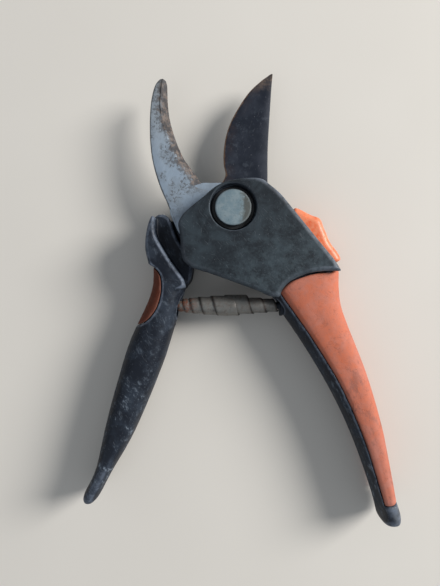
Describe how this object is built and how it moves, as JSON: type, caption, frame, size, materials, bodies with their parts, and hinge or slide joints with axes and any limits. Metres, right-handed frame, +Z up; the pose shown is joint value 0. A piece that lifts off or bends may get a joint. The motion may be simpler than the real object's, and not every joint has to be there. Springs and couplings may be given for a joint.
{
  "type": "bypass pruner",
  "caption": "Hand pruner with a hooked jaw, a coated cutting blade, a strip spring between two crossed handles and a thumb lock, standing open.",
  "frame": {"origin": "on the pivot axis, on the underside of the pivot nut, which the tool rests on", "axes": "+Z up along the pivot axis, +Y towards the jaws, +X towards the fixed handle's side"},
  "size_m": [0.1298, 0.1856, 0.0224],
  "materials": {
    "black_nylon": "scuffed glass-filled nylon",
    "cover_nylon": "scuffed dusty nylon",
    "orange_grip": "worn soft grip",
    "red_pad": "dirty soft pad",
    "orange_lever": "moulded orange plastic",
    "coated_steel": "dark low-friction coating, worn at the edge",
    "hook_steel": "ground steel with rust specks",
    "bolt_steel": "dull plated steel",
    "dark_washer": "blackened steel",
    "pawl_steel": "stamped steel",
    "spring_steel": "weathered spring steel",
    "zinc_steel": "zinc-plated steel",
    "seat_nylon": "moulded nylon"
  },
  "bodies": {
    "right_side": {"fixed_frame": "black_nylon", "hub_cover": "cover_nylon", "fixed_grip": "orange_grip", "hook": "hook_steel", "hook_rivet_1": "zinc_steel", "hook_rivet_2": "zinc_steel", "pivot_bolt": "bolt_steel", "pivot_nut": "zinc_steel", "head_washer": "dark_washer", "spring_washer": "zinc_steel", "pivot_sleeve": "zinc_steel", "cover_screw_1": "zinc_steel", "cover_screw_2": "zinc_steel", "cover_screw_3": "zinc_steel", "lock_pin": "zinc_steel", "detent_spring": "spring_steel", "fixed_spring_seat": "seat_nylon", "volute_spring": "spring_steel"},
    "left_side": {"moving_frame": "black_nylon", "moving_pad": "red_pad", "cutting_blade": "coated_steel", "blade_rivet_1": "zinc_steel", "blade_rivet_2": "zinc_steel", "moving_spring_seat": "seat_nylon"},
    "lock_lever": {"lock_lever": "orange_lever", "lock_pawl": "pawl_steel", "pawl_rivet": "zinc_steel"}
  },
  "joints": [
    {"name": "handle_pivot", "type": "hinge", "parent": "right_side", "child": "left_side", "pos_m": [0, 0, 0], "axis": [0, 0, 1], "range_deg": [0, 45], "stiffness_Nm_per_rad": 1.6, "springref_deg": -14.9, "deforming": ["volute_spring"]},
    {"name": "lock_lever_pivot", "type": "hinge", "parent": "right_side", "child": "lock_lever", "pos_m": [0.0144, -0.0278, 0], "axis": [0, 0, 1], "range_deg": [0, 7.5]}
  ]
}
